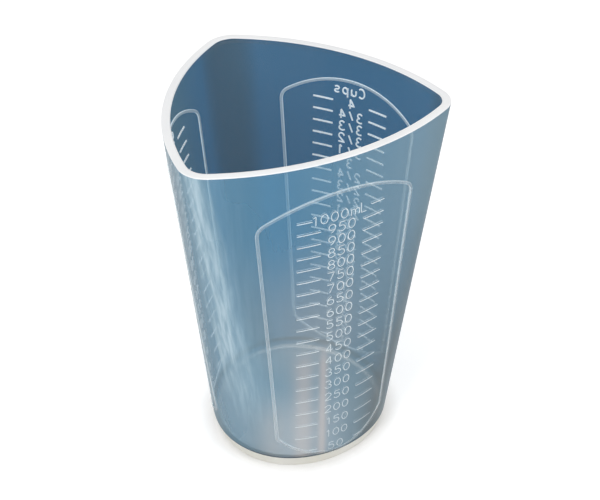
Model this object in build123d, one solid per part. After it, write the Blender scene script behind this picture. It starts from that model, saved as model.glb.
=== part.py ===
from build123d import *
import os
from math import cos, radians, sin

# A one-litre mixing cup, moulded in one piece of soft translucent blue silicone. Its rim is a
# rounded triangle, its foot is nearly round, and the wall between them is straight from foot to rim.
# The pieces below are the zones of that moulding. They meet face to face and nothing overlaps.
# Lengths are in millimetres, angles in degrees. +Z is up, and the origin is the centre of the foot's
# underside. The millilitre wall faces -Y.

# The outline: three bowed sides joined by three round corners that serve as pouring spouts. On the
# tall wall each arc is laid as equal short strips, which keeps its ruled faces light.
wall_count = 3
side_half_angle = 26.6
rim_side_radius = 118.1
rim_corner_radius = 13.1
base_side_radius = 49.1
base_corner_radius = 39.0
side_strip_count = 8
corner_strip_count = 6

# Heights and thicknesses
cup_height = 175.5
foot_height = 7.0
floor_thickness = 3.0
rim_wall = 3.8
base_wall = 2.1

# The foot: a plinth that draws in towards its underside, under a fine step
foot_draw_in = 1.65
foot_inset = 0.3
foot_ring_width = 6.5
foot_edge_radius = 0.8
floor_corner_radius = 3.0

# The lip: the top band of the wall, with softened edges
lip_height = 2.5
lip_edge_radius = 0.6

# The scale panels: a raised bead on each wall, with an arched top and a bowed foot
panel_shift = 1.5
panel_headroom = 11.0
panel_arch_radius = 59.0
panel_base_half_width = 26.0
panel_rim_half_width = 36.8
panel_foot_gap = 0.2
panel_foot_radius = 33.5
panel_shoulder_radius = 6.0
panel_heel_radius = 1.6
bead_width = 1.4
bead_relief = 0.6

# The graduations: two columns of raised strokes on each wall
brim_margin = 26.4
stroke_inner = 9.3
stroke_outer = 19.8
full_stroke_inner = 13.0
stroke_width = 0.8
stroke_relief = 0.5
stroke_clearance = 0.3
shortest_stroke = 4.0

# How the contents are counted
millilitre_rows = 20
cup_rows = 20
ounce_row_share = 0.05915
ounce_rows = 17
halvings = 60

# One overrun serves every cut, and one number of steps rounds every edge
overrun = 5.0
round_step_count = 2

turn = 360.0
facings = [turn * (wall / wall_count) - turn / 4 for wall in range(wall_count)]
corner_turn = turn / (2 * wall_count)
full_line_height = cup_height - brim_margin
arch_centre = full_line_height + panel_headroom - panel_arch_radius
foot_centre = foot_height + panel_foot_gap + bead_width / 2 + panel_foot_radius


def wall_share(height):
    """How far a height lies up the wall, from 0 at the foot's top to 1 at the rim."""
    return (height - foot_height) / (cup_height - foot_height)


def between(base, rim, height):
    return base + (rim - base) * wall_share(height)


def side_radius(height):
    return between(base_side_radius, rim_side_radius, height)


def corner_radius(height):
    return between(base_corner_radius, rim_corner_radius, height)


def wall_thickness(height):
    return between(base_wall, rim_wall, height)


def arc_centres(side, corner):
    """How far a corner arc's centre lies out from the axis, and a side arc's centre behind it."""
    across = side - corner
    reach = across * sin(radians(side_half_angle)) / sin(radians(corner_turn))
    setback = across * cos(radians(side_half_angle)) - reach * cos(radians(corner_turn))
    return reach, setback


def strips(centre, radius, start, sweep, count):
    """An arc laid as equal short arcs."""
    step = sweep / count
    return [CenterArc(centre, radius, start + step * strip, step) for strip in range(count)]


def lobed_face(height, grow, wall_height, side_count=1, corner_count=1):
    """The outline that the wall has at wall_height, grown by a margin and laid at a height."""
    side = side_radius(wall_height)
    corner = corner_radius(wall_height)
    reach, setback = arc_centres(side, corner)
    arcs = []
    for facing in facings:
        out = radians(facing)
        towards_corner = radians(facing + corner_turn)
        side_centre = (-setback * cos(out), -setback * sin(out))
        corner_centre = (reach * cos(towards_corner), reach * sin(towards_corner))
        side_start = facing - side_half_angle
        side_sweep = 2 * side_half_angle
        corner_start = facing + side_half_angle
        corner_sweep = 2 * (corner_turn - side_half_angle)
        arcs += strips(side_centre, side + grow, side_start, side_sweep, side_count)
        arcs += strips(corner_centre, corner + grow, corner_start, corner_sweep, corner_count)
    return Pos(0, 0, height) * make_face(arcs)


def wall_loft(low, high, low_grow, high_grow, side_count=1, corner_count=1):
    """A solid bounded by the wall's own straight lines, from one height to another."""
    low_face = lobed_face(low, low_grow, low, side_count, corner_count)
    high_face = lobed_face(high, high_grow, high, side_count, corner_count)
    return loft([low_face, high_face], ruled=True)


def bands(sections, outline_height=None):
    """A solid of ruled bands, from pairs of a height and a grow. Each level has the wall's outline
    at its own height, or at one height for them all."""
    faces = [lobed_face(height, grow, outline_height or height) for height, grow in sections]
    return loft(faces, ruled=True)


def rounding(radius):
    """The steps of a quarter round, each as how far in it lies and how far short of the edge."""
    turns = [radians(turn / 4 * step / round_step_count) for step in range(round_step_count + 1)]
    return [(radius * (1 - sin(angle)), radius * (1 - cos(angle))) for angle in turns]


# The floor: a flat plate in the middle of the foot
floor_outline = lobed_face(0, -foot_ring_width, foot_height)
cup_floor = extrude(floor_outline, floor_thickness)

# The foot ring: the thick plinth round the floor, drawn in at its underside. Inside it the wall goes
# straight down and turns into the floor in a round corner.
foot_draft = foot_draw_in / foot_height
foot_sections = [
    (rise, -foot_inset - inset - foot_draft * (foot_height - rise))
    for inset, rise in rounding(foot_edge_radius)
]
plinth = bands(foot_sections + [(foot_height, -foot_inset)], foot_height)
well_sections = [
    (floor_thickness + rise, -base_wall - inset) for inset, rise in rounding(floor_corner_radius)
]
well = bands(well_sections + [(foot_height, -base_wall)], foot_height)
foot_ring = plinth - well - cup_floor

# The wall: thin at the foot and thicker towards the rim
lip_base = cup_height - lip_height
mouth = cup_height + overrun
wall_body = wall_loft(foot_height, lip_base, 0, 0, side_strip_count, corner_strip_count)
inside = wall_loft(
    foot_height, mouth, -base_wall, -wall_thickness(mouth), side_strip_count, corner_strip_count
)
cup_wall = wall_body - inside

# The lip: a flat rim with both edges softened
softening = [(cup_height - drop, inset) for inset, drop in reversed(rounding(lip_edge_radius))]
lip_outside = bands([(lip_base, 0)] + [(height, -inset) for height, inset in softening])
lip_inside = bands(
    [(lip_base, -wall_thickness(lip_base))]
    + [(height, inset - wall_thickness(height)) for height, inset in softening]
)
rim_lip = lip_outside - lip_inside


def inside_area(height):
    """The area of the inside at a height, from the areas of its side and corner sectors."""
    side = side_radius(height)
    corner = corner_radius(height)
    thickness = wall_thickness(height)
    reach, setback = arc_centres(side, corner)
    side_sweep = radians(side_half_angle)
    corner_sweep = radians(corner_turn - side_half_angle)
    inner_side = side - thickness
    inner_corner = corner - thickness
    side_part = inner_side**2 * side_sweep - inner_side * setback * sin(side_sweep)
    corner_part = inner_corner**2 * corner_sweep + inner_corner * reach * sin(corner_sweep)
    return wall_count * (side_part + corner_part)


def contents(height):
    """The volume from the floor up to a height. Simpson's rule is exact for the ruled wall."""
    middle = (floor_thickness + height) / 2
    areas = inside_area(floor_thickness) + 4 * inside_area(middle) + inside_area(height)
    return (height - floor_thickness) * areas / 6


def line_height(share):
    """The height that the contents reach when they fill a share of the full line's volume."""
    wanted = share * contents(full_line_height)
    low = floor_thickness
    high = cup_height
    for halving in range(halvings):
        middle = (low + high) / 2
        if contents(middle) < wanted:
            low = middle
        else:
            high = middle
    return (low + high) / 2


def wall_plane(facing):
    """A plane through the axis, facing out through one wall, with x to a reader's right and y up."""
    out = radians(facing)
    return Plane(origin=(0, 0, 0), x_dir=(-sin(out), cos(out), 0), z_dir=(cos(out), sin(out), 0))


def skin(relief):
    """The layer just outside the wall in which raised marks lie."""
    return wall_loft(foot_height, cup_height, relief, relief) - wall_loft(foot_height, cup_height, 0, 0)


def raised(sketch, facing, layer):
    """A sketch, read from outside, stood out from one wall by the depth of a layer."""
    shifted = Pos(-panel_shift, 0) * sketch
    return extrude(wall_plane(facing) * shifted, rim_side_radius) & layer


def bow_reach(height):
    """How far from the panel's middle a stroke may run at a height, to stop short of the bead."""
    room = panel_foot_radius - bead_width / 2 - stroke_clearance
    drop = max(foot_centre - height + stroke_width / 2, 0)
    return (room**2 - drop**2) ** 0.5


def panel_face(grow):
    """A scale panel as a reader sees it, grown by a margin, with its own x from the middle."""
    arch = Pos(0, arch_centre) * Circle(panel_arch_radius + grow)
    bow = Pos(0, foot_centre) * Circle(panel_foot_radius + grow)
    sides = Polyline(
        (-panel_base_half_width - grow, foot_height),
        (panel_base_half_width + grow, foot_height),
        (panel_rim_half_width + grow, cup_height),
        (-panel_rim_half_width - grow, cup_height),
        close=True,
    )
    flanks = make_face(sides)
    tall = Pos(0, foot_centre + cup_height / 2) * Rectangle(2 * rim_side_radius, cup_height)
    low = Pos(0, arch_centre - cup_height / 2) * Rectangle(2 * rim_side_radius, cup_height)
    panel = flanks & (arch + low) & (bow + tall)
    corners = panel.vertices().group_by(Axis.Y)
    panel = fillet(corners[-1], panel_shoulder_radius + grow)
    heels = panel.vertices().group_by(Axis.Y)[0]
    return fillet(heels, panel_heel_radius + grow)


def panel_bead(facing, layer):
    """The raised bead round one scale panel."""
    outer = panel_face(bead_width / 2)
    inner = panel_face(-bead_width / 2)
    return raised(outer - inner, facing, layer)


def graduations(shares, facing, layer, wide_label):
    """Both columns of strokes on one wall. The lowest row stops short of the bowed bead, and the
    top row starts further out where its label is wide."""
    bars = Sketch()
    for row, share in enumerate(shares):
        height = line_height(share)
        start = full_stroke_inner if wide_label and row == len(shares) - 1 else stroke_inner
        outer = min(stroke_outer, bow_reach(height))
        inner = min(start, outer - shortest_stroke)
        bar = Rectangle(outer - inner, stroke_width)
        bars += [Pos(hand * (inner + outer) / 2, height) * bar for hand in (-1, 1)]
    return raised(bars, facing, layer)


bead_layer = skin(bead_relief)
stroke_layer = skin(stroke_relief)
millilitre_facing, cups_facing, ounce_facing = facings
litre_shares = [(row + 1) / millilitre_rows for row in range(millilitre_rows)]
cup_shares = [(row + 1) / cup_rows for row in range(cup_rows)]
ounce_shares = [(row + 1) * ounce_row_share for row in range(ounce_rows)]

pieces = {
    "foot_ring": foot_ring,
    "cup_floor": cup_floor,
    "cup_wall": cup_wall,
    "rim_lip": rim_lip,
    "millilitre_panel_bead": panel_bead(millilitre_facing, bead_layer),
    "cups_panel_bead": panel_bead(cups_facing, bead_layer),
    "ounce_panel_bead": panel_bead(ounce_facing, bead_layer),
    "millilitre_graduations": graduations(litre_shares, millilitre_facing, stroke_layer, True),
    "cups_graduations": graduations(cup_shares, cups_facing, stroke_layer, False),
    "ounce_graduations": graduations(ounce_shares, ounce_facing, stroke_layer, False),
}

os.makedirs("parts", exist_ok=True)
for name, piece in pieces.items():
    export_step(piece, f"parts/{name}.step")

print("volume at the full line, mL:", round(contents(full_line_height) / 1000, 1))
print("volume to the rim, mL:", round(contents(cup_height) / 1000, 1))
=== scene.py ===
# %% [markdown]
# # A resin mixing cup
# The cup is one moulding of soft translucent silicone. Its rim is a rounded triangle, its foot is
# nearly round, and three raised scales stand on its wall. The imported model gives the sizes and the
# places; this lesson gives the cup its smooth surfaces, its numerals and its milky blue look.

from math import atan2, ceil, cos, hypot, pi, radians, sin, sqrt

import bmesh
import bpy
from mathutils import Matrix, Vector


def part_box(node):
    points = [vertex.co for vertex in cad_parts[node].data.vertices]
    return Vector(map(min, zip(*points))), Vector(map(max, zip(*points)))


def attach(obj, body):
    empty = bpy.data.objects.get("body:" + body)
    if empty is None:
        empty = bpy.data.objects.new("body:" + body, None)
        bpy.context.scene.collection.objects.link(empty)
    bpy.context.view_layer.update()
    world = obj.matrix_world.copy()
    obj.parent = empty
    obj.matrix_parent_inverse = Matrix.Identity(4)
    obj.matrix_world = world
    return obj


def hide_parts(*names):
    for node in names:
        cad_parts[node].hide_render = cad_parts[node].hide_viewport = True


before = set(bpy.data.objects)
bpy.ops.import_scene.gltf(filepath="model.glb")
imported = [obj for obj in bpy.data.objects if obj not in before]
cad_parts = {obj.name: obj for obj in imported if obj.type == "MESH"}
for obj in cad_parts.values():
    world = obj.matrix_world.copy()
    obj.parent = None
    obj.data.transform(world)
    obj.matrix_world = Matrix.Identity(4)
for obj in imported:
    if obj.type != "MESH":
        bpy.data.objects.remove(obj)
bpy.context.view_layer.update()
print("nodes:", sorted(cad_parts))

# %% [markdown]
# Every length is in metres, as Blender wants it, but a maker thinks in millimetres, so each size is
# written as so many `mm`. The heights come from the frame where it has them. The outline is three
# bowed sides joined by three round corners, and both kinds of arc change evenly with the height.

# %% Sizes of the cup
mm = 0.001
walls = 3
side_half_angle = radians(26.6)
corner_half_angle = pi / walls - side_half_angle
rim_side_radius = 118.1 * mm
rim_corner_radius = 13.1 * mm
foot_side_radius = 49.1 * mm
foot_corner_radius = 39.0 * mm

foot_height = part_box("foot_ring")[1].z
floor_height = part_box("cup_floor")[1].z
lip_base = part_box("rim_lip")[0].z
cup_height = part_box("rim_lip")[1].z
foot_wall = 2.1 * mm
rim_wall = 3.8 * mm
print("cup height", round(cup_height / mm, 1), "mm, foot height", round(foot_height / mm, 1), "mm")

# %% [markdown]
# The camera stands where the photographer stood: above the rim, a little to the left of the
# millilitre wall, and tilted by two degrees. A camera in Blender looks along its own -Z, so its axes
# are worked out as three vectors and put into one matrix. A small lens shift frames the cup without
# turning the camera.

# %% Camera
camera_azimuth = radians(-25.91)
camera_elevation = radians(37.72)
camera_roll = radians(-1.98)
camera_distance = 517.4 * mm
aim = Vector((0, 0, cup_height / 2))
sensor_width_mm = 36
lens_mm = 67.44
image_width = 600
shift_right = 7.01
shift_up = 17.29

away = Vector((
    sin(camera_azimuth) * cos(camera_elevation),
    -cos(camera_azimuth) * cos(camera_elevation),
    sin(camera_elevation),
))
level_right = Vector((cos(camera_azimuth), sin(camera_azimuth), 0))
level_up = away.cross(level_right)
camera_right = level_right * cos(camera_roll) + level_up * sin(camera_roll)
camera_up = level_up * cos(camera_roll) - level_right * sin(camera_roll)
camera_data = bpy.data.cameras.new("camera")
camera_data.sensor_width = sensor_width_mm
camera_data.lens = lens_mm
camera_data.shift_x = shift_right / image_width
camera_data.shift_y = shift_up / image_width
camera = bpy.data.objects.new("camera", camera_data)
camera.matrix_world = Matrix.Translation(aim + away * camera_distance) @ Matrix(
    (camera_right, camera_up, away)
).transposed().to_4x4()
bpy.context.scene.collection.objects.link(camera)
bpy.context.scene.camera = camera
print("camera at", tuple(round(value, 3) for value in camera.location))

# %% [markdown]
# The looks and the shape rules of this cup are trees of nodes. Wired one by one, a tree is hard to
# read, so a small class places a node, feeds its sockets and hands back its outputs. With it a mask
# reads like a sum. It works on shader trees and on geometry trees alike.

# %% Node trees
class Tree:
    """A node tree, with short ways to place nodes, feed their sockets and calculate."""

    def __init__(self, data):
        self.data = data

    def feed(self, socket, value):
        """Link a socket to another socket, or set it to a plain value."""
        if isinstance(value, bpy.types.NodeSocket):
            self.data.links.new(value, socket)
        else:
            socket.default_value = value

    def place(self, kind, sockets=None, **settings):
        """The outputs of a new node, after its settings are made and its sockets are fed."""
        node = self.data.nodes.new(kind)
        for name, value in settings.items():
            setattr(node, name, value)
        for name, value in (sockets or {}).items():
            self.feed(node.inputs[name], value)
        return node.outputs

    def grouped(self, group, **values):
        """The output of a shader group placed in this tree; an underscore stands for a space."""
        sockets = {label.replace("_", " "): value for label, value in values.items()}
        return self.place("ShaderNodeGroup", sockets, node_tree=group)[0]

    def calc(self, operation, *values):
        """One Math node, fed by sockets or numbers."""
        return self.place("ShaderNodeMath", dict(enumerate(values)), operation=operation)[0]

    def times(self, product, *factors):
        """The product of two values or more."""
        for factor in factors:
            product = self.calc("MULTIPLY", product, factor)
        return product

    def choose(self, test, if_true, if_false):
        """if_true where the test is 1, if_false where it is 0, and evenly between."""
        difference = self.calc("SUBTRACT", if_true, if_false)
        return self.calc("MULTIPLY_ADD", test, difference, if_false)

    def split(self, vector):
        """The x, y and z of a vector."""
        return self.place("ShaderNodeSeparateXYZ", {0: vector})


def new_group(name, family, inputs, outputs):
    """A node group's tree, the sockets that it is given and the sockets that it gives.

    An input is written as its default number or as its kind, and an output as its kind.
    """
    tree = Tree(bpy.data.node_groups.new(name, family + "NodeTree"))
    for label, value in inputs.items():
        kind = value if isinstance(value, str) else type(value).__name__.capitalize()
        socket = tree.data.interface.new_socket(label, in_out="INPUT", socket_type="NodeSocket" + kind)
        if kind != value:
            socket.default_value = value
    for label, kind in outputs.items():
        tree.data.interface.new_socket(label, in_out="OUTPUT", socket_type="NodeSocket" + kind)
    return tree, tree.place("NodeGroupInput"), tree.data.nodes.new("NodeGroupOutput").inputs


print("node trees are built by", Tree.__name__, "and", new_group.__name__)

# %% [markdown]
# Soft shapes in a look come from a few small sums: a value mapped to a range, a smooth step between
# two places, and a bell round one place. They are plain functions on a shader tree, so that every
# finish below uses the same ones.

# %% Small sums for shader trees
def own_coordinates(tree, kind):
    """The x, y and z of the piece's own coordinates or of its normal."""
    return tree.split(tree.place("ShaderNodeTexCoord")[kind])


def ranged(tree, value, low, high):
    """A value from 0 to 1, mapped to a range."""
    return tree.place("ShaderNodeMapRange", {"Value": value, "To Min": low, "To Max": high})["Result"]


def smooth_step(tree, value, low, high):
    """0 before low, 1 past high and smooth between; high may be the smaller of the two."""
    sockets = {"Value": value, "From Min": low, "From Max": high}
    return tree.place("ShaderNodeMapRange", sockets, interpolation_type="SMOOTHSTEP")["Result"]


def bell(tree, offset, width):
    """1 where an offset is zero, falling off softly within a width."""
    widths = tree.calc("DIVIDE", offset, width)
    return tree.calc("EXPONENT", tree.times(widths, widths, -1.0))


def mixed(tree, factor, first, second):
    """A colour mixed from two. The Mix node has its colours at inputs 6 and 7 and output 2."""
    return tree.place("ShaderNodeMix", {0: factor, 6: first, 7: second}, data_type="RGBA")[2]


def shader_mix(tree, factor, first, second):
    """One shader mixed into another."""
    return tree.place("ShaderNodeMixShader", {0: factor, 1: first, 2: second})[0]


def new_material(name):
    """An empty node material and its tree."""
    material = bpy.data.materials.new(name)
    material.use_nodes = True
    material.node_tree.nodes.clear()
    return material, Tree(material.node_tree)


def surface(tree, shader):
    """A shader becomes the surface of the material."""
    tree.place("ShaderNodeOutputMaterial", {"Surface": shader})


print("sums:", ranged.__name__, smooth_step.__name__, bell.__name__)

# %% [markdown]
# The studio is a white sweep under soft light, and the world gives most of that light. Only what the
# camera, a reflection or a refraction sees is raised to pure white, so the cup itself stays at a
# plain light level.

# %% World light
studio_level = 0.72
white = (1, 1, 1, 1)

bpy.context.scene.view_settings.view_transform = "Standard"
world = bpy.data.worlds.new("studio")
bpy.context.scene.world = world
world.use_nodes = True
world.node_tree.nodes.clear()
sky = Tree(world.node_tree)
sky_path = sky.place("ShaderNodeLightPath")
seen_in_cup = sky.calc("MAXIMUM", sky_path["Is Glossy Ray"], sky_path["Is Transmission Ray"])
seen = sky.calc("MAXIMUM", sky_path["Is Camera Ray"], seen_in_cup)
sky_sockets = {"Color": white, "Strength": ranged(sky, seen, studio_level, 1.0)}
backdrop = sky.place("ShaderNodeBackground", sky_sockets)
sky.place("ShaderNodeOutputWorld", {"Surface": backdrop[0]})
print("world light level", studio_level)

# %% [markdown]
# Two large soft boxes stand left and right of the camera and light the cup from the sides; the long
# highlights on the wall are painted into its haze. A narrow spot above the mouth lights only the
# floor inside the cup, which the wall would leave dark.

# %% Soft boxes
spot_height = 1.5
spot_angle = radians(3.5)
spot_blend_share = 0.15
spot_radius = 10 * mm


def add_lamp(name, kind, place, watts):
    """A lamp of a kind at a place."""
    data = bpy.data.lights.new(name, kind)
    data.energy = watts
    lamp = bpy.data.objects.new(name, data)
    lamp.location = place
    bpy.context.scene.collection.objects.link(lamp)
    return lamp, data


def soft_box(name, place, width, height, watts):
    """A rectangular lamp that is turned to face the middle of the cup."""
    lamp, data = add_lamp(name, "AREA", place, watts)
    data.shape = "RECTANGLE"
    data.size = width
    data.size_y = height
    lamp.rotation_euler = (aim - lamp.location).to_track_quat("-Z", "Y").to_euler()


soft_box("left_box", place=(-0.75, -0.45, 0.75), width=0.35, height=0.9, watts=4)
soft_box("right_box", place=(0.5, -0.8, 0.6), width=0.25, height=0.8, watts=2)
_, spot_data = add_lamp("mouth_spot", "SPOT", (0, 0, spot_height), watts=40)
spot_data.spot_size = spot_angle
spot_data.spot_blend = spot_blend_share
spot_data.shadow_soft_size = spot_radius

# %% [markdown]
# The cup stands on a plain pale sheet. To the camera the sheet glows a little, so that it comes out
# white without more light on the cup. Ambient occlusion takes that glow away close to the foot, and
# the soft contact shadow stays.

# %% Floor
floor_half = 3.0
contact_reach = 10 * mm
glow_ends_at = 0.5
glow_level = 0.34

floor_material, floor_tree = new_material("pale_floor")
matte = floor_tree.place("ShaderNodeBsdfDiffuse", {"Color": (0.93, 0.93, 0.93, 1)})
contact = floor_tree.place("ShaderNodeAmbientOcclusion", {"Distance": contact_reach})
contact_sockets = {"Value": contact["AO"], "From Min": glow_ends_at, "To Max": glow_level}
contact_shade = floor_tree.place("ShaderNodeMapRange", contact_sockets)["Result"]
to_camera = floor_tree.place("ShaderNodeLightPath")["Is Camera Ray"]
glow = floor_tree.place("ShaderNodeEmission", {"Strength": floor_tree.times(to_camera, contact_shade)})
surface(floor_tree, floor_tree.place("ShaderNodeAddShader", {0: matte[0], 1: glow[0]})[0])

floor_mesh = bpy.data.meshes.new("floor")
floor_signs = ((-1, -1), (1, -1), (1, 1), (-1, 1))
floor_mesh.from_pydata([(x * floor_half, y * floor_half, 0) for x, y in floor_signs], [], [(0, 1, 2, 3)])
floor_mesh.materials.append(floor_material)
floor = bpy.data.objects.new("floor", floor_mesh)
bpy.context.scene.collection.objects.link(floor)
print("floor", 2 * floor_half, "m wide")

# %% [markdown]
# Soft silicone is never quite even: it is cloudy inside, and its skin has a very fine grain from the
# mould. Both are shared by every material of the cup, so each is a node group with its own inputs.
# `silicone_cloud` gives a slow cloud drawn out along the height, as the silicone flowed in the mould.
# `mould_grain` gives a normal from fine noise.

# %% Cloud and grain
grain_depth = 0.2 * mm


def silicone_cloud():
    """A cloud between 0 and 1, stretched along the height."""
    inputs = {"Scale": 18.0, "Stretch": 0.25, "Low": 0.35, "High": 0.65}
    tree, given, gives = new_group("silicone_cloud", "Shader", inputs, {"Cloud": "Float"})
    stretch = tree.place("ShaderNodeCombineXYZ", {"X": 1, "Y": 1, "Z": given["Stretch"]})[0]
    own_place = tree.place("ShaderNodeTexCoord")["Object"]
    stretched = tree.place("ShaderNodeVectorMath", {0: own_place, 1: stretch}, operation="MULTIPLY")[0]
    noise = tree.place("ShaderNodeTexNoise", {"Vector": stretched, "Scale": given["Scale"], "Detail": 3})
    tree.feed(gives["Cloud"], smooth_step(tree, noise["Fac"], given["Low"], given["High"]))
    return tree.data


def mould_grain():
    """A normal roughened by fine noise."""
    inputs = {"Scale": 900.0, "Strength": 0.05}
    tree, given, gives = new_group("mould_grain", "Shader", inputs, {"Normal": "Vector"})
    own_place = tree.place("ShaderNodeTexCoord")["Object"]
    noise = tree.place("ShaderNodeTexNoise", {"Vector": own_place, "Scale": given["Scale"], "Detail": 2})
    bump_sockets = {"Height": noise["Fac"], "Strength": given["Strength"], "Distance": grain_depth}
    tree.feed(gives["Normal"], tree.place("ShaderNodeBump", bump_sockets)["Normal"])
    return tree.data


cloud_group = silicone_cloud()
grain_group = mould_grain()
print("shader groups:", cloud_group.name, grain_group.name)

# %% [markdown]
# Three more masks know where they are on the cup. `corner_mask` is 1 along the three round corners
# and works on the angle round the axis. `turn_band` is a soft upright band where the wall faces a
# stated way, so it follows a corner or a wall from the rim to the foot. The third is a painted
# highlight: an upright streak on the front above the foot, which fades out with the height.

# %% Masks round the cup
def corner_mask():
    """1 along the three round corners."""
    tree, given, gives = new_group("corner_mask", "Shader", {"Low": 0.6, "High": 1.0}, {"Corner": "Float"})
    x, y, _ = own_coordinates(tree, "Object")
    three_turns = tree.calc("MULTIPLY_ADD", tree.calc("ARCTAN2", y, x), walls, -walls * pi / 2)
    wave = tree.calc("COSINE", three_turns)
    tree.feed(gives["Corner"], smooth_step(tree, wave, given["Low"], given["High"]))
    return tree.data


def turn_band():
    """1 where the normal faces a stated way, falling off within a width."""
    tree, given, gives = new_group("turn_band", "Shader", {"Facing": 0.0, "Width": 0.1}, {"Band": "Float"})
    x, y, _ = own_coordinates(tree, "Normal")
    turned = tree.calc("SUBTRACT", tree.calc("ARCTAN2", y, x), given["Facing"])
    turned = tree.calc("FLOORED_MODULO", tree.calc("ADD", turned, pi), 2 * pi)
    tree.feed(gives["Band"], bell(tree, tree.calc("SUBTRACT", turned, pi), given["Width"]))
    return tree.data


def flow_mark():
    """A painted highlight, an upright streak on the front half, at a place across it."""
    inputs = {"Across": 0.0, "Width": 3 * mm, "Fade From": 66 * mm, "Fade To": 84 * mm}
    tree, given, gives = new_group("flow_mark", "Shader", inputs, {"Mark": "Float"})
    x, y, z = own_coordinates(tree, "Object")
    streak = bell(tree, tree.calc("SUBTRACT", x, given["Across"]), given["Width"])
    in_front = tree.calc("LESS_THAN", y, 0.0)
    faded = smooth_step(tree, z, given["Fade To"], given["Fade From"])
    tree.feed(gives["Mark"], tree.times(streak, in_front, faded))
    return tree.data


corner_group = corner_mask()
band_group = turn_band()
highlight_group = flow_mark()
print("masks:", corner_group.name, band_group.name, highlight_group.name)

# %% [markdown]
# The wall is clear enough to show the marks on its far side, and cloudy enough to hide the table
# behind it. A wall of real thickness could be made as one refracting volume, but that is slow and
# noisy. Here the outer skin carries the colour: seen from outside it is a pale blue haze that lets
# part of the view through, and seen from inside it is deep blue, because there the light comes
# through the wall. First come the masks that say where the haze changes. Apart from the cloud of the
# silicone, they place painted highlights and painted shade.

# %% Where the wall's haze changes
outer_skin, outer = new_material("wall_outer_skin")
right, _, up = own_coordinates(outer, "Object")
cloud = outer.grouped(cloud_group, Scale=14.0)
fine_cloud = outer.grouped(cloud_group, Scale=420.0, Stretch=0.016, Low=0.3, High=0.7)


def band(facing, width):
    """A band on the wall, by the way that it faces and its width in degrees."""
    return outer.grouped(band_group, Facing=radians(facing), Width=radians(width))


def streak_at(across, width, **fades):
    """A painted highlight streak on the front of the wall."""
    return outer.grouped(highlight_group, Across=across, Width=width, **fades)


def between(start, end):
    """0 up to one height and 1 past another, or the other way down."""
    return smooth_step(outer, up, start, end)


# Painted highlight: a pale, finely streaked band down the left-front corner, stronger towards the rim.
corner_highlight_height = ranged(outer, between(14 * mm, 80 * mm), 0.12, 1.0)
corner_highlight = outer.times(band(213, 22), corner_highlight_height, ranged(outer, fine_cloud, 0.5, 1.0))
# Painted shade: the wall turns dark grey where it faces to the right front, away from the key light, and
# most of all low down.
low_down = outer.calc("SUBTRACT", 1.0, between(20 * mm, 150 * mm))
right_side_shade = outer.times(band(305, 29), ranged(outer, low_down, 0.12, 1.2))
high_up = between(60 * mm, 150 * mm)
# Painted highlight: a paler, warmer band at mid height where the wall faces the front.
warm_highlight_band = outer.times(band(262, 16), between(150 * mm, 85 * mm), between(40 * mm, 85 * mm), 0.85)
# Painted shade: darker low down on the left-front corner.
low_corner_shade = outer.times(band(224, 14), between(42 * mm, 8 * mm), 0.5)
# Painted highlights: pale and warm upright streaks on the front wall above the foot, for light from the
# floor reflected in the wall.
side_highlight = outer.times(streak_at(-30.0 * mm, 5.5 * mm, Fade_From=25 * mm, Fade_To=60 * mm), 0.5)
broad_highlight = outer.times(streak_at(-14.0 * mm, 17.0 * mm, Fade_From=30 * mm, Fade_To=60 * mm), 0.42)
slim_highlight = outer.times(streak_at(-8.7 * mm, 2.1 * mm), 0.95)
warm_streak_highlights = outer.calc("MULTIPLY_ADD", streak_at(-17.6 * mm, 4.6 * mm), 0.75, slim_highlight)
# Darker where the wall is seen on edge: partly the longer path through the silicone, which also covers
# more behind it, and partly painted shade for the darker surroundings that the edge shows.
facing_ratio = outer.place("ShaderNodeLayerWeight", {"Blend": 0.5})["Facing"]
glance = outer.calc("POWER", facing_ratio, 3.0)
# Painted shade: a dark line along the bottom of the wall, where it meets the foot.
foot_shade_line = between(foot_height + 1.4 * mm, foot_height)
print("outer skin has", len(outer.data.nodes), "nodes for its masks")

# %% [markdown]
# From outside, each mask lays one more colour over the haze, from the cloud of the whole wall to the
# painted shade line above the foot. Apart from the cloud, these colours are painted highlights and
# painted shade. Where the wall is seen on edge, and under the painted shade on the right and the
# painted highlight on the left-front corner, the haze also covers more of what lies behind it.

# %% The haze seen from outside
silicone_ior = 1.41
# Painted shade where the wall meets the foot, used inside the wall and on the ledge under it.
foot_shade = (0.010, 0.045, 0.085, 1)

haze = (0.172, 0.37, 0.51, 1)
for mask, colour in (
    (outer.times(cloud, 0.6), (0.255, 0.425, 0.52, 1)),
    # Painted shade and painted light on the upper wall: a deeper blue where it faces 253 degrees and a
    # paler blue where it faces 292 degrees.
    (outer.times(band(253, 12), high_up), (0.108, 0.33, 0.53, 1)),
    (outer.times(band(292, 15), high_up), (0.30, 0.475, 0.57, 1)),
    (corner_highlight, (0.50, 0.655, 0.74, 1)),
    (warm_highlight_band, (0.46, 0.53, 0.56, 1)),
    (right_side_shade, (0.102, 0.120, 0.122, 1)),
    (low_corner_shade, (0.12, 0.25, 0.33, 1)),
    (side_highlight, (0.53, 0.535, 0.535, 1)),
    (broad_highlight, (0.53, 0.535, 0.535, 1)),
    (warm_streak_highlights, (0.68, 0.63, 0.60, 1)),
    (glance, (0.105, 0.185, 0.235, 1)),
    (foot_shade_line, (0.05, 0.10, 0.15, 1)),
):
    haze = mixed(outer, mask, haze, colour)

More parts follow.
